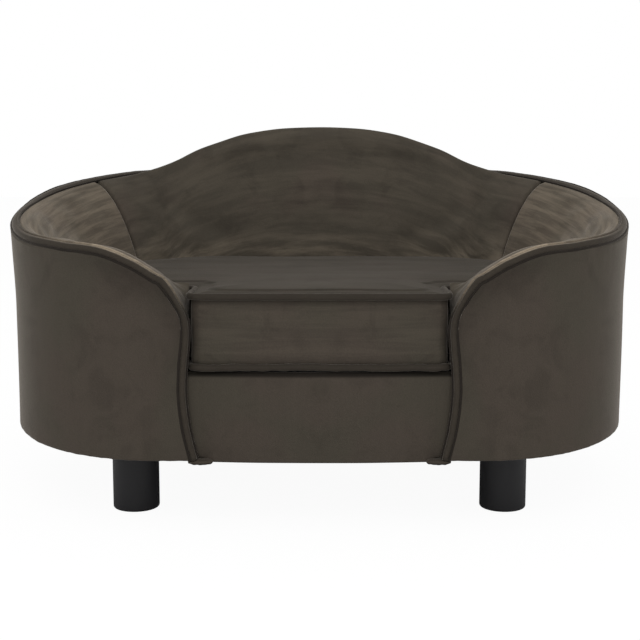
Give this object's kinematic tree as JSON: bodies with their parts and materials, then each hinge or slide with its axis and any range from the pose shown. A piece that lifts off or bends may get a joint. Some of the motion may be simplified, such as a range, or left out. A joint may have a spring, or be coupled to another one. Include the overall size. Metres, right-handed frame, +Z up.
{
  "type": "dog sofa bed",
  "caption": "Oval tub-shaped sofa bed for a small dog, with a camel back, wrapped arms, a piped rim roll, a loose zipped seat cushion and round feet",
  "frame": {"origin": "on the floor, under the middle of the sofa's outline", "axes": "+X from the left arm to the right arm seen from the front, +Z up, the opening at the front faces -Y"},
  "size_m": [0.6726, 0.4899, 0.39],
  "materials": {
    "velvet": "plush velvet",
    "piping": "plush velvet",
    "lining": "matte",
    "foam": "matte",
    "plywood": "matte",
    "hardboard": "matte",
    "timber": "matte",
    "foot_plastic": "matte",
    "steel": "brushed",
    "zip_plastic": "matte"
  },
  "bodies": {
    "sofa_body": {"base_board": "plywood", "deck_board": "plywood", "front_rail_board": "timber", "cross_bearer_left": "timber", "cross_bearer_right": "timber", "back_bearer": "timber", "front_post_left": "timber", "front_post_right": "timber", "back_post_left": "timber", "back_post_right": "timber", "left_shell": "hardboard", "right_shell": "hardboard", "back_shell": "hardboard", "left_arm_foam": "foam", "right_arm_foam": "foam", "back_foam": "foam", "rim_padding": "foam", "rail_foam": "foam", "outer_cover": "velvet", "left_inner_cover": "velvet", "right_inner_cover": "velvet", "back_inner_cover": "velvet", "rim_band": "velvet", "outer_piping": "piping", "inner_piping": "piping", "rail_cover": "velvet", "deck_cover": "lining", "dust_cover": "lining", "dust_cover_staples": "steel", "deck_screws": "steel", "base_screws": "steel", "foot_front_left": "foot_plastic", "foot_front_right": "foot_plastic", "foot_back_left": "foot_plastic", "foot_back_right": "foot_plastic", "leg_bolts": "steel", "tee_nuts": "steel"},
    "cushion": {"cushion_core": "foam", "cushion_top_panel": "velvet", "cushion_bottom_panel": "velvet", "cushion_boxing": "velvet", "cushion_top_piping": "piping", "cushion_bottom_piping": "piping", "zip_tape": "velvet", "zip_coil": "zip_plastic", "zip_stops": "steel"},
    "zip_slider": {"zip_slider": "steel"}
  },
  "joints": [
    {"name": "cushion_lift", "type": "slide", "parent": "sofa_body", "child": "cushion", "axis": [0, 0, 1], "range_m": [0, 0.25]},
    {"name": "zip_slide", "type": "slide", "parent": "cushion", "child": "zip_slider", "axis": [-1, 0, 0], "range_m": [0, 0.17]}
  ]
}
